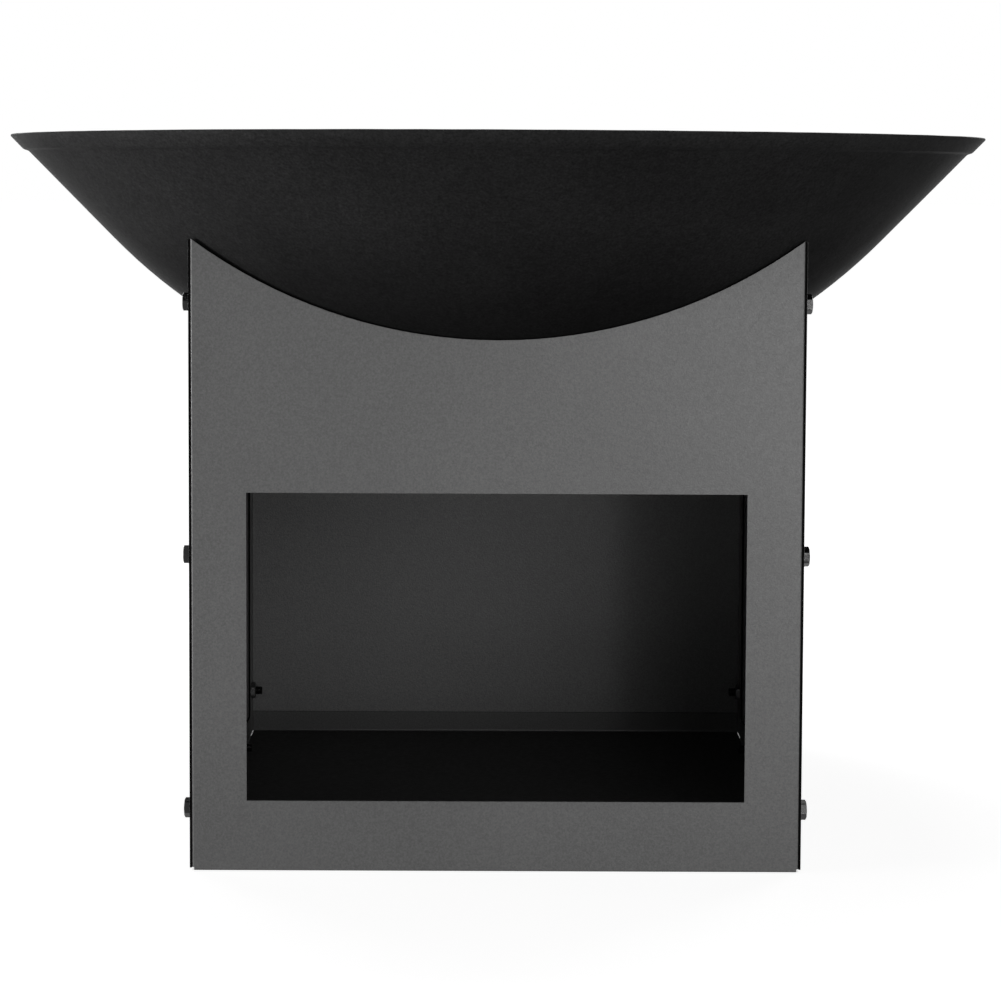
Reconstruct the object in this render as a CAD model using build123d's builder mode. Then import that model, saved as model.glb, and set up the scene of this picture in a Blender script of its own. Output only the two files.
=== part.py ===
from build123d import *
from math import asin, cos, degrees, pi, sin, sqrt
import os

# Outdoor fireplace: a round cast-iron fire bowl resting in a square stand of bolted sheet steel.
# Millimetres, +Z up, the front faces -Y, and the origin is on the ground under the bowl's axis.

# Stand, measured over its outer faces
stand_width = 347.0
stand_depth = 347.0
sheet = 1.2
bend_radius = 1.5
corner_flange = 20.0
foot_flange = 20.0
corner_relief = 2.0
side_setback = 2.0
side_ground_gap = 1.2

# Log opening in the front panel
opening_width = 282.0
opening_height = 175.5
opening_bottom = 40.3

# Fire bowl, whose dish is part of a sphere that runs out straight to a thickened rim
rim_diameter = 600.0
dish_radius = 331.4
run_out_radius = 238.0
bowl_wall = 4.0
lip_proud = 1.5
lip_width = 12.0
lip_foot_run = 1.6
rim_outer_round = 0.8
rim_inner_round = 2.0
lip_foot_round = 0.9

# Seat of the bowl on the low points of the four arcs, which are cut a little wider than the dish
seat_height = 302.2
seat_gap = 0.3
arc_ease = 7.9

# Floor tray, folded up on all four sides
tray_lip = 15.0
tray_bend_radius = 2.6
tray_end_gap = 0.5
tray_corner_gap = 0.3

# Screws and nuts
bolt_diameter = 6.0
bolt_length = 10.0
bolt_end_chamfer = 0.6
hex_width = 10.0
hex_corners = 6
head_height = 4.0
nut_height = 3.2
chamfer_face_share = 0.95
chamfer_rise = 7.0
thread_gap = 0.05
hole_diameter = 6.6

# Places of the screws: three at each corner of the stand and two on each side of the tray
corner_bolt_inset = 12.5
foot_bolt_height = 33.2
tip_bolt_drop = 36.1
middle_bolt_share = 0.504
tray_bolt_height = 10.0
tray_bolt_depth_share = 0.25

# How far each head has turned past a corner to the front, in shares of the way to its next corner
head_turn_shares = {
    "left": {"top": 0.0, "middle": 0.1, "bottom": -0.3},
    "right": {"top": 0.5, "middle": 0.5, "bottom": 0.2},
}
tray_head_turn_share = 0.0
nut_turn_share = 0.5

# Sizes that follow from those above
panel_width = stand_width - 2 * sheet
front_inside = stand_depth / 2 - sheet
side_inside = panel_width / 2
flange_inside = side_inside - sheet
corner_bolt_depth = stand_depth / 2 - corner_bolt_inset
tray_bolt_depth = tray_bolt_depth_share * stand_depth
tray_bottom = sheet
hole_radius = hole_diameter / 2


# Radius of the dish's outer surface in an upright plane at a distance from the bowl's axis
def dish_section(distance):
    return sqrt(dish_radius**2 - distance**2)


# Radius of the arc cut in a sheet whose inner face is at a distance from the bowl's axis
def arc_radius(inner_face):
    return dish_section(inner_face) + arc_ease


# The arcs share the height of their centres, which leaves the seat gap under the dish at each low point
dish_centre = seat_height + seat_gap + dish_section(front_inside)
arc_centre = dish_centre - seat_gap + arc_ease
tip_height = arc_centre - sqrt(arc_radius(front_inside) ** 2 - side_inside**2)

tip_bolt_height = tip_height - tip_bolt_drop
corner_bolt_heights = {
    "top": tip_bolt_height,
    "middle": foot_bolt_height + middle_bolt_share * (tip_bolt_height - foot_bolt_height),
    "bottom": foot_bolt_height,
}
corner_bolt_rows = [
    (depth, height)
    for depth in (-corner_bolt_depth, corner_bolt_depth)
    for height in corner_bolt_heights.values()
]

os.makedirs("parts", exist_ok=True)


def write_part(part, name):
    part.label = name
    export_step(part, f"parts/{name}.step")


# Bowl: half section through the dish, the straight wall and the lip, turned about the axis
run_out_angle = asin(run_out_radius / dish_radius)
along = (cos(run_out_angle), sin(run_out_angle))
run_out_height = dish_centre - dish_radius * cos(run_out_angle)


# A point of the straight wall, by its run up the slope and how far it stands out of the outer face
def wall_point(run, proud):
    return (
        run_out_radius + run * along[0] + proud * along[1],
        run_out_height + run * along[1] - proud * along[0],
    )


# The rim's outer corner is sharp here, and its rounding brings it back to the rim's diameter
rim_round_loss = rim_outer_round * ((1 + along[0]) / along[1] - 1)
rim_corner_radius = rim_diameter / 2 + rim_round_loss
rim_run = (rim_corner_radius - run_out_radius - lip_proud * along[1]) / along[0]
rim_corner = wall_point(rim_run, lip_proud)
rim_height = rim_corner[1]
inner_start = wall_point(0, -bowl_wall)
inner_corner = wall_point((rim_height - inner_start[1]) / along[1], -bowl_wall)
lip_foot = wall_point(rim_run - lip_width, lip_proud)
lip_root = wall_point(rim_run - lip_width - lip_foot_run, 0)

with BuildPart() as fire_bowl:
    with BuildSketch(Plane.XZ) as bowl_section:
        with BuildLine() as bowl_outline:
            outer_dish = CenterArc((0, dish_centre), dish_radius, -90, degrees(run_out_angle))
            Polyline(outer_dish @ 1, lip_root, lip_foot, rim_corner, inner_corner, inner_start)
            inner_dish = CenterArc(
                (0, dish_centre), dish_radius - bowl_wall, -90, degrees(run_out_angle)
            )
            Line(inner_dish @ 0, outer_dish @ 0)
        make_face()
        rim_corners = bowl_section.vertices().group_by(Axis.Y)[-1].sort_by(Axis.X)
        fillet(rim_corners[0], rim_inner_round)
        rim_corners = bowl_section.vertices().sort_by(Axis.X)
        fillet(rim_corners[-1], rim_outer_round)
        foot_corner = bowl_section.vertices().sort_by_distance(lip_foot)
        fillet(foot_corner[0], lip_foot_round)
    revolve(axis=Axis.Z)
write_part(fire_bowl.part, "fire_bowl")


# Front or back sheet, facing -Y: a face with a flange turned back at each side and one at the foot
def folded_panel():
    with BuildPart() as panel:
        with BuildSketch(Plane.XY.offset(corner_relief)):
            RectangleRounded(panel_width, stand_depth, bend_radius)
            RectangleRounded(
                panel_width - 2 * sheet,
                stand_depth - 2 * sheet,
                bend_radius - sheet,
                mode=Mode.SUBTRACT,
            )
            with Locations((0, corner_flange - stand_depth / 2)):
                Rectangle(
                    panel_width,
                    stand_depth,
                    align=(Align.CENTER, Align.MIN),
                    mode=Mode.SUBTRACT,
                )
        extrude(amount=arc_centre - corner_relief)

        with BuildSketch(Plane.YZ) as foot_section:
            with Locations((-stand_depth / 2, 0)):
                Rectangle(foot_flange, sheet, align=Align.MIN)
                Rectangle(sheet, corner_relief, align=Align.MIN)
            foot_corners = foot_section.vertices()
            outer_bend = foot_corners.sort_by_distance((-stand_depth / 2, 0))[0]
            inner_bend = foot_corners.sort_by_distance((-front_inside, sheet))[0]
            fillet(outer_bend, bend_radius)
            fillet(inner_bend, bend_radius - sheet)
        extrude(amount=panel_width / 2 - bend_radius, both=True)

        with BuildSketch(Plane.XZ):
            with Locations((0, arc_centre)):
                Circle(arc_radius(front_inside))
        extrude(amount=stand_depth, both=True, mode=Mode.SUBTRACT)

        with BuildSketch(Plane.YZ):
            with Locations((0, arc_centre)):
                Circle(arc_radius(flange_inside))
            with Locations(*corner_bolt_rows):
                Circle(hole_radius)
        extrude(amount=stand_width, both=True, mode=Mode.SUBTRACT)
    return panel.part


with BuildPart() as front_panel:
    add(folded_panel())
    with BuildSketch(Plane.XZ):
        with Locations((0, opening_bottom)):
            Rectangle(opening_width, opening_height, align=(Align.CENTER, Align.MIN))
    extrude(amount=stand_depth, both=True, mode=Mode.SUBTRACT)
write_part(front_panel.part, "front_panel")

with BuildPart() as back_panel:
    add(folded_panel().rotate(Axis.Z, 180))
write_part(back_panel.part, "back_panel")

# Side sheets: flat, bolted outside the flanges and clear of the ground
for side, name in ((-1, "left_side_panel"), (1, "right_side_panel")):
    with BuildPart() as side_panel:
        with BuildSketch(Plane.YZ.offset(side * side_inside)):
            with Locations((0, side_ground_gap)):
                Rectangle(
                    stand_depth - 2 * side_setback,
                    arc_centre - side_ground_gap,
                    align=(Align.CENTER, Align.MIN),
                )
            with Locations((0, arc_centre)):
                Circle(arc_radius(side_inside), mode=Mode.SUBTRACT)
            with Locations(*corner_bolt_rows):
                Circle(hole_radius, mode=Mode.SUBTRACT)
            with Locations((-tray_bolt_depth, tray_bolt_height), (tray_bolt_depth, tray_bolt_height)):
                Circle(hole_radius, mode=Mode.SUBTRACT)
        extrude(amount=side * sheet)
    write_part(side_panel.part, name)


# Section of the tray between two upturned lips, whose outer faces are at a distance from the middle
def tray_section(plane, lip_face):
    with BuildSketch(plane) as section:
        with Locations((0, tray_bottom + tray_lip)):
            RectangleRounded(2 * lip_face, 2 * tray_lip, tray_bend_radius)
            RectangleRounded(
                2 * (lip_face - sheet),
                2 * (tray_lip - sheet),
                tray_bend_radius - sheet,
                mode=Mode.SUBTRACT,
            )
            Rectangle(
                2 * lip_face,
                tray_lip,
                align=(Align.CENTER, Align.MIN),
                mode=Mode.SUBTRACT,
            )
    return section.sketch


# Floor tray: side lips between the corner flanges, front and back lips between the flanges' faces,
# where the corners are rounded to clear the inside of the panels' bends
side_lip_reach = stand_depth / 2 - corner_flange - tray_end_gap
front_lip_reach = flange_inside - tray_corner_gap
tray_corner_round = bend_radius - sheet + tray_corner_gap
with BuildPart() as floor_tray:
    extrude(tray_section(Plane.YZ, front_inside), amount=front_lip_reach, both=True)
    with BuildSketch(Plane.XY):
        RectangleRounded(2 * front_lip_reach, 2 * front_inside, tray_corner_round)
    extrude(amount=tray_bottom + tray_lip, mode=Mode.INTERSECT)
    extrude(tray_section(Plane.XZ, side_inside), amount=side_lip_reach, both=True)
    with BuildSketch(Plane.YZ):
        with Locations((-tray_bolt_depth, tray_bolt_height), (tray_bolt_depth, tray_bolt_height)):
            Circle(hole_radius)
    extrude(amount=stand_width, both=True, mode=Mode.SUBTRACT)
write_part(floor_tray.part, "floor_tray")


# Cone that trims the outer corners of a hexagon of a given height
def hex_cone(height):
    face_radius = chamfer_face_share * hex_width / 2
    return Cone(
        face_radius + chamfer_rise,
        face_radius,
        height,
        align=(Align.CENTER, Align.CENTER, Align.MIN),
        mode=Mode.INTERSECT,
    )


# Turn of a hexagon, in degrees, from a share of the way between two of its corners
def hex_turn(share):
    return share * degrees(2 * pi / hex_corners)


# Screw whose head stands out of the seat plane and whose shank runs in from it
def hex_bolt(seat, turn_share):
    with BuildPart() as bolt:
        with BuildSketch(seat):
            RegularPolygon(
                hex_width / 2, hex_corners, major_radius=False, rotation=hex_turn(turn_share)
            )
        extrude(amount=head_height)
        with Locations(seat.location):
            hex_cone(head_height)
        with BuildSketch(seat):
            Circle(bolt_diameter / 2)
        extrude(amount=-bolt_length)
        shank_end = bolt.faces().filter_by(Axis.X).sort_by_distance(seat.origin)[-1]
        chamfer(shank_end.edges(), bolt_end_chamfer)
    return bolt.part


# Nut that bears on the seat plane and stands away from it
def hex_nut(seat):
    with BuildPart() as nut:
        with BuildSketch(seat):
            RegularPolygon(
                hex_width / 2, hex_corners, major_radius=False, rotation=hex_turn(nut_turn_share)
            )
        extrude(amount=nut_height)
        with Locations(seat.location):
            hex_cone(nut_height)
        with BuildSketch(seat):
            Circle(bolt_diameter / 2 + thread_gap)
        extrude(amount=nut_height, mode=Mode.SUBTRACT)
    return nut.part


# Plane across a screw's axis on one side of the stand, at a distance from the middle
def fastener_plane(side, distance, depth, height, outward):
    return Plane(
        origin=(side * distance, depth, height), x_dir=(0, 1, 0), z_dir=(side * outward, 0, 0)
    )


sides = {"left": -1, "right": 1}
ends = {"front": -1, "back": 1}
for side_name, side in sides.items():
    for end_name, end in ends.items():
        for level, height in corner_bolt_heights.items():
            depth = end * corner_bolt_depth
            place = f"{end_name}_{side_name}_{level}"
            head_seat = fastener_plane(side, stand_width / 2, depth, height, 1)
            nut_seat = fastener_plane(side, flange_inside, depth, height, -1)
            write_part(hex_bolt(head_seat, head_turn_shares[side_name][level]), f"bolt_{place}")
            write_part(hex_nut(nut_seat), f"nut_{place}")
        depth = end * tray_bolt_depth
        place = f"{end_name}_{side_name}"
        head_seat = fastener_plane(side, stand_width / 2, depth, tray_bolt_height, 1)
        nut_seat = fastener_plane(side, side_inside - sheet, depth, tray_bolt_height, -1)
        write_part(hex_bolt(head_seat, tray_head_turn_share), f"tray_bolt_{place}")
        write_part(hex_nut(nut_seat), f"tray_nut_{place}")
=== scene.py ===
import math

import bmesh
import bpy
from mathutils import Matrix, Vector, noise


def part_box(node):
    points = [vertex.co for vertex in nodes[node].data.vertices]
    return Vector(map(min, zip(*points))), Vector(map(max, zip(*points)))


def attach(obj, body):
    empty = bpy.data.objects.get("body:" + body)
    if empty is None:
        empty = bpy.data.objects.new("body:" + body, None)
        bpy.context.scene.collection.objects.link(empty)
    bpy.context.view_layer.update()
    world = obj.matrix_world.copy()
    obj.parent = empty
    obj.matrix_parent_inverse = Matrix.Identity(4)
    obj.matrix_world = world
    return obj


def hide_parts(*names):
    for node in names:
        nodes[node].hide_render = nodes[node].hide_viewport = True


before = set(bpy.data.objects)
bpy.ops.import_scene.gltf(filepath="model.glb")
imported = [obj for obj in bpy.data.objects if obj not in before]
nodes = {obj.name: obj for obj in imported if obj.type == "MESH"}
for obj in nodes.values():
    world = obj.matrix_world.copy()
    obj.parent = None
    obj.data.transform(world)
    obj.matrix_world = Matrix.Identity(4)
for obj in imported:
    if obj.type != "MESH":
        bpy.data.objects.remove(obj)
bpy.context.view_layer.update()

MM = 0.001


# Camera: the photograph's viewing point, fitted to the corners, arcs, opening, screws and rim

PHOTO_SIZE = 1001
FOCAL_PIXELS = 2484.6
SENSOR_WIDTH = 36.0
HORIZON_CENTRE = 326.41
CAMERA_PLACE = (-1.5 * MM, -1561.6 * MM, 395.69 * MM)
CAMERA_YAW, CAMERA_PITCH, CAMERA_ROLL = 0.127, -3.53, 0.26


def make_camera():
    data = bpy.data.cameras.new("camera")
    data.sensor_width = SENSOR_WIDTH
    data.lens = FOCAL_PIXELS * SENSOR_WIDTH / PHOTO_SIZE
    data.shift_y = -(PHOTO_SIZE / 2 - HORIZON_CENTRE) / PHOTO_SIZE
    camera = bpy.data.objects.new("camera", data)
    bpy.context.scene.collection.objects.link(camera)
    turn = (
        Matrix.Rotation(math.radians(-CAMERA_YAW), 4, "Z")
        @ Matrix.Rotation(math.radians(90 + CAMERA_PITCH), 4, "X")
        @ Matrix.Rotation(math.radians(CAMERA_ROLL), 4, "Z")
    )
    camera.matrix_world = Matrix.Translation(CAMERA_PLACE) @ turn
    bpy.context.scene.camera = camera


# Light: soft lamps around the object, and a background that is white to the eye and to gloss

LAMP_AIM = (0.0, 0.0, 0.25)
ROOM_LEVEL = 0.08
WHITE_LEVEL = 1.0
LAMPS = {
    "left_box": {"azimuth": -80, "far": 1.6, "height": 0.13, "size": (0.9, 0.24), "watts": 29},
    "right_low": {"azimuth": 23, "far": 1.1, "height": 0.14, "size": (0.5, 0.2), "watts": 1.4},
    "right_high": {"azimuth": 20, "far": 1.1, "height": 0.45, "size": (0.5, 0.2), "watts": 1.6},
    "right_strip": {"azimuth": 14.4, "far": 1.2, "height": 0.22, "size": (0.06, 0.3), "watts": 0.6},
    "back_left": {"azimuth": -140, "far": 2.4, "height": 0.9, "size": (1.0, 0.6), "watts": 13},
    "back_right": {"azimuth": 140, "far": 2.4, "height": 0.9, "size": (1.0, 0.6), "watts": 13},
    "top_box": {"azimuth": 180, "far": 0.5, "height": 2.4, "size": (1.0, 1.0), "watts": 16},
}


def make_lamp(name, azimuth, far, height, size, watts):
    data = bpy.data.lights.new(name, "AREA")
    data.shape = "RECTANGLE"
    data.size, data.size_y = size
    data.energy = watts
    lamp = bpy.data.objects.new(name, data)
    bpy.context.scene.collection.objects.link(lamp)
    turn = math.radians(azimuth)
    lamp.location = (far * math.sin(turn), -far * math.cos(turn), height)
    aim = Vector(LAMP_AIM) - lamp.location
    lamp.rotation_euler = aim.to_track_quat("-Z", "Y").to_euler()
    lamp.visible_camera = False


def seen_directly(tree):
    """1 for rays from the camera, mirror rays and rays through glass, 0 for the others."""
    path = tree.nodes.new("ShaderNodeLightPath")
    level = path.outputs["Is Camera Ray"]
    for kind in ("Is Glossy Ray", "Is Transmission Ray"):
        larger = tree.nodes.new("ShaderNodeMath")
        larger.operation = "MAXIMUM"
        tree.links.new(level, larger.inputs[0])
        tree.links.new(path.outputs[kind], larger.inputs[1])
        level = larger.outputs[0]
    return level


def make_light():
    world = bpy.data.worlds.new("studio")
    bpy.context.scene.world = world
    world.use_nodes = True
    tree = world.node_tree
    tree.nodes.clear()
    back = tree.nodes.new("ShaderNodeBackground")
    back.inputs["Color"].default_value = (1, 1, 1, 1)
    level = remap(tree, seen_directly(tree), 0, 1, ROOM_LEVEL, WHITE_LEVEL)
    tree.links.new(level, back.inputs["Strength"])
    out = tree.nodes.new("ShaderNodeOutputWorld")
    tree.links.new(back.outputs[0], out.inputs["Surface"])
    for name, lamp in LAMPS.items():
        make_lamp(name, **lamp)


# Floor: pale, white to the eye where nothing shades it, and dark under the stand

FLOOR_HALF = 30.0
FLOOR_SHADE = 0.45
NEAR_GLOW = 0.85
FAR_GLOW = 0.97
NEAR_REACH = 0.8
FAR_REACH = 3.0
STAND_EDGE_START = 4.0 * MM
STAND_EDGE_END = 1.0 * MM


def beside_stand(tree, place):
    """0 on the floor under the stand, which the room's light doesn't reach, and 1 around it."""
    split = tree.nodes.new("ShaderNodeSeparateXYZ")
    tree.links.new(place, split.inputs[0])
    larger = tree.nodes.new("ShaderNodeMath")
    larger.operation = "MAXIMUM"
    for k, axis in enumerate("XY"):
        away = tree.nodes.new("ShaderNodeMath")
        away.operation = "ABSOLUTE"
        tree.links.new(split.outputs[axis], away.inputs[0])
        tree.links.new(away.outputs[0], larger.inputs[k])
    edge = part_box("back_panel")[1].y
    return remap(tree, larger.outputs[0], edge - STAND_EDGE_START, edge - STAND_EDGE_END, 0, 1)


def make_floor():
    mesh = bpy.data.meshes.new("floor")
    h = FLOOR_HALF
    mesh.from_pydata([(-h, -h, 0), (h, -h, 0), (h, h, 0), (-h, h, 0)], [], [(0, 1, 2, 3)])
    floor = bpy.data.objects.new("floor", mesh)
    bpy.context.scene.collection.objects.link(floor)
    material = bpy.data.materials.new("floor_white")
    material.use_nodes = True
    tree = material.node_tree
    tree.nodes.clear()
    paint = tree.nodes.new("ShaderNodeBsdfDiffuse")
    paint.inputs["Color"].default_value = (FLOOR_SHADE, FLOOR_SHADE, FLOOR_SHADE, 1)
    glow = tree.nodes.new("ShaderNodeEmission")
    reach = tree.nodes.new("ShaderNodeVectorMath")
    reach.operation = "LENGTH"
    place = tree.nodes.new("ShaderNodeTexCoord").outputs["Object"]
    tree.links.new(place, reach.inputs[0])
    level = remap(tree, reach.outputs["Value"], NEAR_REACH, FAR_REACH, NEAR_GLOW, FAR_GLOW)
    level = times(tree, level, beside_stand(tree, place))
    tree.links.new(times(tree, level, seen_directly(tree)), glow.inputs["Strength"])
    add = tree.nodes.new("ShaderNodeAddShader")
    tree.links.new(paint.outputs[0], add.inputs[0])
    tree.links.new(glow.outputs[0], add.inputs[1])
    out = tree.nodes.new("ShaderNodeOutputMaterial")
    tree.links.new(add.outputs[0], out.inputs["Surface"])
    mesh.materials.append(material)


# Sizes of the bowl, which its shape and the shading of its iron both follow

DISH_RADIUS = 331.4 * MM
RUN_OUT_RADIUS = 238.0 * MM
BOWL_WALL = 4.0 * MM
LIP_PROUD = 1.5 * MM
LIP_WIDTH = 12.0 * MM
LIP_FOOT_RUN = 4.0 * MM
RIM_OUTER_ROUND = 0.8 * MM
RIM_INNER_ROUND = 2.0 * MM
WALL_TURN = math.asin(RUN_OUT_RADIUS / DISH_RADIUS)


# Materials

NOISE_LOW = 0.3
NOISE_HIGH = 0.7


def material_tree(name):
    material = bpy.data.materials.new(name)
    material.use_nodes = True
    tree = material.node_tree
    shader = tree.nodes["Principled BSDF"]
    place = tree.nodes.new("ShaderNodeTexCoord").outputs["Object"]
    return material, tree, shader, place


def noise_node(tree, place, scale, detail, roughness=0.5):
    node = tree.nodes.new("ShaderNodeTexNoise")
    node.inputs["Scale"].default_value = scale
    node.inputs["Detail"].default_value = detail
    node.inputs["Roughness"].default_value = roughness
    tree.links.new(place, node.inputs["Vector"])
    return node.outputs["Fac"]


def remap(tree, value, low_in, high_in, low_out, high_out):
    node = tree.nodes.new("ShaderNodeMapRange")
    node.inputs["From Min"].default_value = low_in
    node.inputs["From Max"].default_value = high_in
    node.inputs["To Min"].default_value = low_out
    node.inputs["To Max"].default_value = high_out
    tree.links.new(value, node.inputs["Value"])
    return node.outputs["Result"]


def layer(tree, place, low, high, **grain):
    """Noise, which mostly keeps between NOISE_LOW and NOISE_HIGH, stretched from low to high."""
    return remap(tree, noise_node(tree, place, **grain), NOISE_LOW, NOISE_HIGH, low, high)


def times(tree, a, b):
    node = tree.nodes.new("ShaderNodeMath")
    node.operation = "MULTIPLY"
    tree.links.new(a, node.inputs[0])
    tree.links.new(b, node.inputs[1])
    return node.outputs[0]


def tint(tree, value, colour):
    node = tree.nodes.new("ShaderNodeMix")
    node.data_type = "RGBA"
    node.blend_type = "MULTIPLY"
    node.inputs["Factor"].default_value = 1.0
    node.inputs["A"].default_value = (*colour, 1)
    tree.links.new(value, node.inputs["B"])
    return node.outputs["Result"]


def upright_part(tree, vector):
    split = tree.nodes.new("ShaderNodeSeparateXYZ")
    tree.links.new(vector, split.inputs[0])
    return split.outputs["Z"]


def bump(tree, shader, layers):
    normal = None
    for height, depth in layers:
        node = tree.nodes.new("ShaderNodeBump")
        node.inputs["Strength"].default_value = 1.0
        node.inputs["Distance"].default_value = depth
        tree.links.new(height, node.inputs["Height"])
        if normal is not None:
            tree.links.new(normal, node.inputs["Normal"])
        normal = node.outputs["Normal"]
    tree.links.new(normal, shader.inputs["Normal"])


COAT_SPECKLE = {"scale": 1000, "detail": 3, "roughness": 0.6, "low": 0.78, "high": 1.22}
COAT_CLOUD = {"scale": 9, "detail": 3, "low": 0.93, "high": 1.07}
COAT_GLOSS = {"scale": 300, "detail": 2}
COAT_GRAIN = {"scale": 1100, "detail": 2, "roughness": 0.6}
COAT_GRAIN_DEPTH = 0.12 * MM
UP_FACING_START, UP_FACING_END = 0.7, 0.98
UP_FACING_DULLS = 0.55


def powder_coat(name, shade, smooth, rough, specular, top_shade_share=1.0):
    """Grained coat; faces that face up keep the last argument's share of its shade (painted shade)
    and are rougher.
    """
    material, tree, shader, place = material_tree(name)
    facing_up = upright_part(tree, tree.nodes.new("ShaderNodeNewGeometry").outputs["Normal"])
    speckle = layer(tree, place, **COAT_SPECKLE)
    cloud = layer(tree, place, **COAT_CLOUD)
    # Painted shade: faces that face up are darkened.
    top_shaded = remap(tree, facing_up, UP_FACING_START, UP_FACING_END, 1.0, top_shade_share)
    colour = tint(tree, times(tree, times(tree, speckle, cloud), top_shaded), (shade, shade, shade))
    tree.links.new(colour, shader.inputs["Base Color"])
    gloss = layer(tree, place, smooth, rough, **COAT_GLOSS)
    dull = remap(tree, facing_up, UP_FACING_START, UP_FACING_END, 1.0, 1 / (1 - UP_FACING_DULLS * (1 - top_shade_share)))
    tree.links.new(times(tree, gloss, dull), shader.inputs["Roughness"])
    shader.inputs["Specular IOR Level"].default_value = specular
    bump(tree, shader, [(noise_node(tree, place, **COAT_GRAIN), COAT_GRAIN_DEPTH)])
    return material


IRON_CLOUD = {"scale": 14, "detail": 4, "low": 0.85, "high": 1.15}
IRON_BLOTCH = {"scale": 240, "detail": 3, "roughness": 0.6, "low": 0.85, "high": 1.15}
IRON_FLECK = {"scale": 700, "detail": 3, "roughness": 0.6, "low": 0.68, "high": 1.32}
IRON_GLOSS = {"scale": 60, "detail": 3, "low": 0.82, "high": 0.92}
IRON_LUMPS = {"scale": 45, "detail": 3}
IRON_LUMP_DEPTH = 0.5 * MM
IRON_PORES = {"scale": 420, "detail": 3, "roughness": 0.6}
IRON_PORE_DEPTH = 0.16 * MM
IRON_HUE = (1.0, 1.0, 1.01)
IRON_SOCKETS = {
    "Specular IOR Level": 0.01,
    "Coat Weight": 0.2,
    "Coat IOR": 1.02,
    "Coat Roughness": 0.15,
}
# Painted shade: the bowl is darker towards its bottom, fading out between these heights above it.
BOTTOM_SHADE_START = 45.0 * MM
BOTTOM_SHADE_END = 115.0 * MM
# Painted light: how much paler the lip is painted at its top.
LIP_LIGHT_SHARE = 1.5


def cast_iron(name, shade, bottom_shade_share):
    """Black cast iron, darkened towards the bottom of the bowl as painted shade and paler at the lip
    as painted light.
    """
    material, tree, shader, place = material_tree(name)
    cloud = layer(tree, place, **IRON_CLOUD)
    blotch = layer(tree, place, **IRON_BLOTCH)
    fleck = layer(tree, place, **IRON_FLECK)
    height = upright_part(tree, place)
    low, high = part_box("fire_bowl")
    foot = high.z - (LIP_WIDTH + LIP_FOOT_RUN / 2) * math.sin(WALL_TURN)
    # Painted shade: darker towards the bottom of the bowl.
    bottom_shaded = remap(tree, height, low.z + BOTTOM_SHADE_START, low.z + BOTTOM_SHADE_END, bottom_shade_share, 1.0)
    # Painted light: paler up the lip, where more light falls on it.
    lip_light = remap(tree, height, foot, high.z, 1.0, LIP_LIGHT_SHARE)
    share = times(tree, times(tree, cloud, blotch), times(tree, fleck, times(tree, bottom_shaded, lip_light)))
    colour = [shade * part for part in IRON_HUE]
    tree.links.new(tint(tree, share, colour), shader.inputs["Base Color"])
    tree.links.new(layer(tree, place, **IRON_GLOSS), shader.inputs["Roughness"])
    for socket, value in IRON_SOCKETS.items():
        shader.inputs[socket].default_value = value
    lumps = noise_node(tree, place, **IRON_LUMPS)
    pores = noise_node(tree, place, **IRON_PORES)
    bump(tree, shader, [(lumps, IRON_LUMP_DEPTH), (pores, IRON_PORE_DEPTH)])
    return material


STEEL_FLECK = {"scale": 1500, "detail": 3, "low": 0.6, "high": 1.4}
STEEL_GLOSS = {"scale": 700, "detail": 2}
STEEL_GRAIN = {"scale": 900, "detail": 2}
STEEL_GRAIN_DEPTH = 0.08 * MM


def screw_steel(name, shade, metallic, smooth, rough, specular):
    """Finely grained steel; metallic is 0 for black oxide and near 1 for a bare surface."""
    material, tree, shader, place = material_tree(name)
    fleck = layer(tree, place, **STEEL_FLECK)
    tree.links.new(tint(tree, fleck, (shade, shade, shade)), shader.inputs["Base Color"])
    gloss = layer(tree, place, smooth, rough, **STEEL_GLOSS)
    tree.links.new(gloss, shader.inputs["Roughness"])
    shader.inputs["Metallic"].default_value = metallic
    shader.inputs["Specular IOR Level"].default_value = specular
    bump(tree, shader, [(noise_node(tree, place, **STEEL_GRAIN), STEEL_GRAIN_DEPTH)])
    return material


# Painted shade laid on cut edges and on the seams beside bends.
EDGE_SHADE_FLECK = {"scale": 1200, "detail": 2, "low": 0.6, "high": 1.4}
EDGE_SHADE_COLOUR = (0.0025, 0.0025, 0.0025)
EDGE_SHADE_ROUGHNESS = 0.8
EDGE_SHADE_SPECULAR = 0.03


def edge_shade():
    """Nearly black painted shade for the sheets' cut edges and for the seams beside their bends."""
    material, tree, shader, place = material_tree("cut_edge_painted_shade")
    fleck = layer(tree, place, **EDGE_SHADE_FLECK)
    tree.links.new(tint(tree, fleck, EDGE_SHADE_COLOUR), shader.inputs["Base Color"])
    shader.inputs["Roughness"].default_value = EDGE_SHADE_ROUGHNESS
    shader.inputs["Specular IOR Level"].default_value = EDGE_SHADE_SPECULAR
    return material


# Pieces: each stands for one node and rides a body

def stand_for(piece, node, body):
    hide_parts(node)
    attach(piece, body)


# Bowl: a turned casting, whose section follows the dish, the straight wall and the lip

BOWL_TURNS = 240
DISH_STEPS = 28
WALL_STEPS = 8
FOOT_STEPS = 8
ROUND_STEPS = 4
INNER_WALL_SHARE = 0.98
CAST_WAVE = 0.16 * MM
CAST_WAVE_SIZE = 22.0 * MM
CAST_WAVE_FALL = 0.8
CAST_WAVE_STEP = 2.0
CAST_WAVE_LAYERS = 3
RIM_TOP_TURN = 0.5


def dish_points(centre, radius, end_turn):
    """Points of the dish in its section, from the axis out to where the straight wall starts."""
    turns = [end_turn * k / DISH_STEPS for k in range(1, DISH_STEPS + 1)]
    return [Vector((radius * math.sin(turn), centre - radius * math.cos(turn))) for turn in turns]


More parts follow.
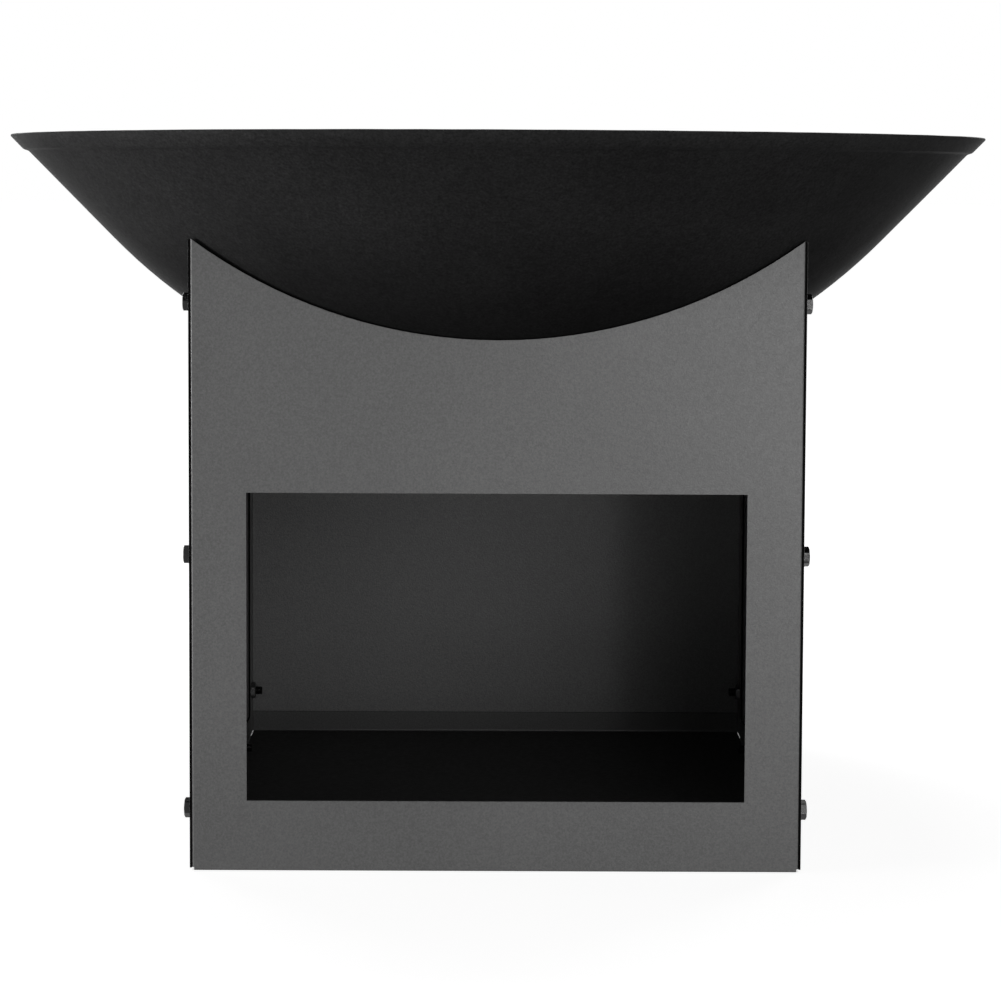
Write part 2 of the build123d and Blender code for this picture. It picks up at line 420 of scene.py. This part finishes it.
def corner_round(corner, into, out, radius):
    """Points of the rounding of a corner between two directions that lead away from it."""
    half = into.angle(out) / 2
    middle = corner + (into + out).normalized() * radius / math.sin(half)
    first = corner + into * radius / math.tan(half) - middle
    last = corner + out * radius / math.tan(half) - middle
    points = []
    for k in range(ROUND_STEPS + 1):
        share = k / ROUND_STEPS
        points.append(middle + first.lerp(last, share).normalized() * radius)
    return points


def bowl_section(low, high):
    """The bowl's section between two heights, up its outside, over the rim and down its inside."""
    centre = low + DISH_RADIUS
    along = Vector((math.cos(WALL_TURN), math.sin(WALL_TURN)))
    outward = Vector((along.y, -along.x))
    start = Vector((RUN_OUT_RADIUS, centre - DISH_RADIUS * math.cos(WALL_TURN)))
    run = (high - start.y + LIP_PROUD * along.x) / along.y
    root = run - LIP_WIDTH - LIP_FOOT_RUN
    section = dish_points(centre, DISH_RADIUS, WALL_TURN)
    for k in range(1, WALL_STEPS + 1):
        section.append(start + along * root * k / WALL_STEPS)
    for k in range(1, FOOT_STEPS + 1):
        share = k / FOOT_STEPS
        rise = share * share * (3 - 2 * share)
        section.append(start + along * (root + LIP_FOOT_RUN * share) + outward * LIP_PROUD * rise)
    corner = start + along * run + outward * LIP_PROUD
    to_axis = Vector((-1, 0))
    section += corner_round(corner, -along, to_axis, RIM_OUTER_ROUND)
    inner_start = start - outward * BOWL_WALL
    inner_corner = inner_start + along * (high - inner_start.y) / along.y
    section += corner_round(inner_corner, -to_axis, -along, RIM_INNER_ROUND)
    inner_wall = along * (inner_corner - inner_start).length * INNER_WALL_SHARE
    for k in range(WALL_STEPS, 0, -1):
        section.append(inner_start + inner_wall * k / WALL_STEPS)
    section += dish_points(centre, DISH_RADIUS - BOWL_WALL, WALL_TURN)[::-1]
    return section


def cast_wave(place):
    """How far the casting falls short of its true shape at a place; it never stands out of it."""
    size = place / CAST_WAVE_SIZE
    wave = noise.fractal(size, CAST_WAVE_FALL, CAST_WAVE_STEP, CAST_WAVE_LAYERS)
    return CAST_WAVE * min(1, max(0, 0.5 + 0.5 * wave))


def is_inside(face):
    """Whether a face belongs to the bowl's inside or to the top of its rim."""
    middle = face.calc_center_median()
    inward = face.normal.x * middle.x + face.normal.y * middle.y < 0
    return inward or face.normal.z > RIM_TOP_TURN


def make_bowl(iron, inside_iron):
    low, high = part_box("fire_bowl")
    work = bmesh.new()
    rings = []
    for point in bowl_section(low.z, high.z):
        placed = []
        for k in range(BOWL_TURNS):
            turn = math.tau * k / BOWL_TURNS
            place = (point.x * math.sin(turn), -point.x * math.cos(turn), point.y)
            placed.append(work.verts.new(place))
        rings.append(placed)
    for first, second in zip(rings, rings[1:]):
        for k in range(BOWL_TURNS):
            m = (k + 1) % BOWL_TURNS
            work.faces.new((first[k], first[m], second[m], second[k]))
    for height, row in ((low.z, rings[0]), (low.z + BOWL_WALL, rings[-1])):
        tip = work.verts.new((0, 0, height))
        for k in range(BOWL_TURNS):
            work.faces.new((tip, row[k], row[(k + 1) % BOWL_TURNS]))
    bmesh.ops.recalc_face_normals(work, faces=work.faces)
    work.normal_update()
    moves = [(vert, vert.normal * cast_wave(vert.co)) for vert in work.verts]
    for vert, move in moves:
        vert.co -= move
    for face in work.faces:
        face.smooth = True
        # The inside and the rim top take the paler copy of the iron, which is painted light.
        face.material_index = int(is_inside(face))
    mesh = bpy.data.meshes.new("bowl_casting")
    work.to_mesh(mesh)
    work.free()
    mesh.materials.append(iron)
    mesh.materials.append(inside_iron)
    piece = bpy.data.objects.new("bowl_casting", mesh)
    bpy.context.scene.collection.objects.link(piece)
    stand_for(piece, "fire_bowl", "bowl")


# Sheets: the stand's own meshes with rounded edges; cut edges and the seams beside bends carry
# painted shade

EDGE_ROUND = 0.35 * MM
EDGE_STEPS = 2
SAME_POINT = 0.001 * MM
SAME_PLANE = 0.2
SHARP_ANGLE = 30.0
CREASE_ANGLE = 60.0
SEAM_TURN = 0.55
BEND_REACH = 1.6 * MM
LIP_TOP_REACH = 0.3 * MM
HALF_TURNED = 0.5
SLIGHTLY_TURNED = 0.3
FULLY_TURNED = 0.99
PANEL_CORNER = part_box("back_panel")[1]
TRAY_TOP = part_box("floor_tray")[1].z


def soften(node, name, materials, is_shaded):
    """A copy of a sheet with its cut edges rounded; faces that the test picks take the second
    material, painted shade.
    """
    mesh = nodes[node].data.copy()
    mesh.name = name
    mesh.materials.clear()
    for material in materials:
        mesh.materials.append(material)
    work = bmesh.new()
    work.from_mesh(mesh)
    bmesh.ops.remove_doubles(work, verts=work.verts, dist=SAME_POINT)
    bmesh.ops.dissolve_limit(
        work, angle_limit=math.radians(SAME_PLANE), verts=work.verts, edges=work.edges
    )
    sharp = [
        edge
        for edge in work.edges
        if len(edge.link_faces) == 2 and edge.calc_face_angle(0) > math.radians(SHARP_ANGLE)
    ]
    bmesh.ops.bevel(
        work,
        geom=sharp,
        offset=EDGE_ROUND,
        segments=EDGE_STEPS,
        profile=0.5,
        affect="EDGES",
        clamp_overlap=True,
    )
    work.normal_update()
    for face in work.faces:
        face.smooth = True
        face.material_index = int(is_shaded(face))
    work.to_mesh(mesh)
    work.free()
    mesh.set_sharp_from_angle(angle=math.radians(CREASE_ANGLE))
    piece = bpy.data.objects.new(name, mesh)
    bpy.context.scene.collection.objects.link(piece)
    weigh = piece.modifiers.new("weigh", "WEIGHTED_NORMAL")
    weigh.keep_sharp = True
    bpy.context.view_layer.update()
    shaped = bpy.data.meshes.new_from_object(
        piece.evaluated_get(bpy.context.evaluated_depsgraph_get())
    )
    piece.modifiers.clear()
    piece.data = shaped
    shaped.name = name
    return piece


def seam(face):
    """Painted shade: the last part of a panel's side bend, next to the side sheet, and its flange's
    free end.
    """
    middle = face.calc_center_median()
    beside = abs(middle.x) > PANEL_CORNER.x - BEND_REACH
    outside = abs(middle.y) > PANEL_CORNER.y - BEND_REACH
    in_bend = outside and abs(face.normal.x) > SEAM_TURN
    free_end = not outside and abs(face.normal.y) > HALF_TURNED
    return beside and (in_bend or free_end)


def side_edge(face):
    """Painted shade: a side sheet's front or back edge, apart from the rounding of its outer corner.
    """
    turned = abs(face.normal.y)
    inward = face.normal.x * face.calc_center_median().x < 0
    return turned > FULLY_TURNED or (turned > SLIGHTLY_TURNED and inward)


def lip_top(face):
    """Painted shade: the top edge of one of the tray's lips."""
    return face.normal.z > HALF_TURNED and face.calc_center_median().z > TRAY_TOP - LIP_TOP_REACH


def make_sheets(coat, tray_coat, edge):
    # The second material of each sheet is the painted shade of its cut edges and seams.
    for node, name, materials, is_shaded in (
        ("front_panel", "front_sheet", [coat, edge], seam),
        ("back_panel", "back_sheet", [coat, edge], seam),
        ("floor_tray", "tray_sheet", [tray_coat, edge], lip_top),
        ("left_side_panel", "left_sheet", [coat, edge], side_edge),
        ("right_side_panel", "right_sheet", [coat, edge], side_edge),
    ):
        piece = soften(node, name, materials, is_shaded)
        stand_for(piece, node, "stand")


# Screws and nuts: meshes through rings of points, with the heads turned as in the photograph

HEAD_HEIGHT = 4.0 * MM
NUT_HEIGHT = 3.2 * MM
HEX_WIDTH = 10.0 * MM
HEX_ROUND = 0.3 * MM
FACE_RADIUS = 4.75 * MM
CHAMFER_SLOPE = 4 / 7
WASHER_HEIGHT = 0.3 * MM
DIMPLE_EDGE_RADIUS = 2.9 * MM
DIMPLE_RADIUS = 2.3 * MM
DIMPLE_DEPTH = 0.2 * MM
DIMPLE_MIDDLE_RADIUS = 1.2 * MM
DIMPLE_MIDDLE_DEPTH = 0.25 * MM
SHANK_RADIUS = 3.0 * MM
SHANK_LENGTH = 10.0 * MM
SHANK_POINT = 0.6 * MM
THREAD_PITCH = 1.0 * MM
THREAD_DEPTH = 0.55 * MM
THREAD_START = 5.0 * MM
THREAD_STEPS = 8
THREAD_STEEPNESS = 1.25
HOLE_RADIUS = 3.05 * MM
HOLE_SINK = 0.4 * MM
CORNER_STEPS = 3
FLAT_STEPS = 5
HEAD_TURNS = {
    "left": {"top": 0.0, "middle": 0.1, "bottom": -0.3},
    "right": {"top": 0.5, "middle": 0.5, "bottom": 0.2},
}
TRAY_HEAD_TURN = 0.0
NUT_TURN = 0.5


def towards(angle, reach=1.0):
    return Vector((reach * math.cos(angle), reach * math.sin(angle)))


def hexagon(turn):
    """A hexagon with slightly rounded corners, turned by a share of the way between two of them."""
    reach = (HEX_WIDTH / 2 - HEX_ROUND) / math.cos(math.radians(30))
    points = []
    for k in range(6):
        corner = math.radians(60 * (k + turn))
        following = corner + math.radians(60)
        for j in range(CORNER_STEPS):
            angle = corner + math.radians(60 * j / (CORNER_STEPS - 1) - 30)
            points.append(towards(corner, reach) + HEX_ROUND * towards(angle))
        start = points[-1].copy()
        end = towards(following, reach) + HEX_ROUND * towards(following - math.radians(30))
        for j in range(1, FLAT_STEPS + 1):
            points.append(start.lerp(end, j / (FLAT_STEPS + 1)))
    return points


def circle(outline, radius):
    return [point.normalized() * radius for point in outline]


def chamfer_heights(outline, height):
    return [height - CHAMFER_SLOPE * (point.length - FACE_RADIUS) for point in outline]


def ring(outline, heights):
    if not isinstance(heights, list):
        heights = [heights] * len(outline)
    return [(point.x, point.y, height) for point, height in zip(outline, heights)]


def solid_of_rings(name, rings, seat, sense, closed):
    """A mesh through rings of equal count, set on a seat point with its axis along X in a sense."""
    work = bmesh.new()
    rows = []
    for row in rings:
        placed = []
        for u, v, w in row:
            place = (seat[0] + sense * w, seat[1] + u, seat[2] + sense * v)
            placed.append(work.verts.new(place))
        rows.append(placed)
    pairs = list(zip(rows, rows[1:]))
    if closed:
        pairs.append((rows[-1], rows[0]))
    for first, second in pairs:
        for k in range(len(first)):
            m = (k + 1) % len(first)
            work.faces.new((first[k], first[m], second[m], second[k]))
    if not closed:
        work.faces.new(rows[0])
        work.faces.new(rows[-1])
    bmesh.ops.recalc_face_normals(work, faces=work.faces)
    for face in work.faces:
        face.smooth = True
    mesh = bpy.data.meshes.new(name)
    work.to_mesh(mesh)
    work.free()
    mesh.set_sharp_from_angle(angle=math.radians(SHARP_ANGLE))
    piece = bpy.data.objects.new(name, mesh)
    bpy.context.scene.collection.objects.link(piece)
    return piece


def thread_ring(outline, depth_in):
    """The shank's outline at a depth from the head, with the groove of the thread cut into it."""
    points = []
    for point in outline:
        turn = math.atan2(point.y, point.x) / math.tau
        phase = (depth_in / THREAD_PITCH - turn) % 1
        groove = THREAD_STEEPNESS * (1 - abs(2 * phase - 1)) - (THREAD_STEEPNESS - 1) / 2
        groove = min(1, max(0, groove))
        points.append(point.normalized() * (SHANK_RADIUS - THREAD_DEPTH * groove))
    return points


def make_screw(node, turn, seat, sense):
    outline = hexagon(turn)
    high = HEAD_HEIGHT
    rings = [
        ring(circle(outline, DIMPLE_MIDDLE_RADIUS), high - DIMPLE_MIDDLE_DEPTH),
        ring(circle(outline, DIMPLE_RADIUS), high - DIMPLE_DEPTH),
        ring(circle(outline, DIMPLE_EDGE_RADIUS), high),
        ring(circle(outline, FACE_RADIUS), high),
        ring(outline, chamfer_heights(outline, high)),
        ring(outline, WASHER_HEIGHT),
        ring(circle(outline, FACE_RADIUS), WASHER_HEIGHT),
        ring(circle(outline, FACE_RADIUS), 0.0),
        ring(circle(outline, SHANK_RADIUS), 0.0),
        ring(circle(outline, SHANK_RADIUS), -THREAD_START),
    ]
    step = THREAD_PITCH / THREAD_STEPS
    count = int((SHANK_LENGTH - THREAD_START - SHANK_POINT) / step)
    for j in range(1, count + 1):
        depth_in = THREAD_START + j * step
        rings.append(ring(thread_ring(outline, depth_in), -depth_in))
    rings.append(ring(circle(outline, SHANK_RADIUS - THREAD_DEPTH), -SHANK_LENGTH))
    return solid_of_rings(f"screw_{node}", rings, seat, sense, False)


def make_nut(node, turn, seat, sense):
    outline = hexagon(turn)
    high = NUT_HEIGHT
    upper = chamfer_heights(outline, high)
    rings = [
        ring(circle(outline, HOLE_RADIUS), high - HOLE_SINK),
        ring(circle(outline, HOLE_RADIUS + HOLE_SINK), high),
        ring(circle(outline, FACE_RADIUS), high),
        ring(outline, upper),
        ring(outline, [high - height for height in upper]),
        ring(circle(outline, FACE_RADIUS), 0.0),
        ring(circle(outline, HOLE_RADIUS + HOLE_SINK), 0.0),
        ring(circle(outline, HOLE_RADIUS), HOLE_SINK),
    ]
    return solid_of_rings(f"hex_{node}", rings, seat, sense, True)


def make_fasteners(oxide, steel):
    for node in list(nodes):
        if "bolt" not in node and "nut" not in node:
            continue
        side_name = "left" if "left" in node else "right"
        side = -1 if side_name == "left" else 1
        low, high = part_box(node)
        middle = (low + high) / 2
        outer = low.x if side < 0 else high.x
        if "bolt" in node:
            turn = TRAY_HEAD_TURN
            if not node.startswith("tray"):
                turn = HEAD_TURNS[side_name][node.rsplit("_", 1)[1]]
            piece = make_screw(node, turn, (outer - side * HEAD_HEIGHT, middle.y, middle.z), side)
            piece.data.materials.append(oxide)
        else:
            piece = make_nut(node, NUT_TURN, (outer, middle.y, middle.z), -side)
            piece.data.materials.append(steel)
        stand_for(piece, node, "stand")


make_camera()
make_light()
make_floor()
make_bowl(
    cast_iron("iron_black", shade=0.0172, bottom_shade_share=0.38),
    # A paler copy of the iron for the bowl's inside and rim top: painted light.
    cast_iron("iron_black_inside", shade=0.036, bottom_shade_share=0.8),
)
make_sheets(
    powder_coat("coat_grey", shade=0.12, smooth=0.38, rough=0.46, specular=0.4),
    # A darker copy of the grey coat for the tray deep inside the stand: painted shade.
    powder_coat("coat_grey_tray_shaded", shade=0.064, smooth=0.36, rough=0.42, specular=0.35, top_shade_share=0.27),
    # Painted shade on cut edges and on the seams beside bends.
    edge_shade(),
)
make_fasteners(
    screw_steel("screw_black", shade=0.005, metallic=0.0, smooth=0.14, rough=0.2, specular=0.3),
    screw_steel("nut_grey", shade=0.12, metallic=0.8, smooth=0.35, rough=0.45, specular=0.5),
)
bpy.context.scene.view_settings.view_transform = "Standard"

bpy.context.view_layer.update()
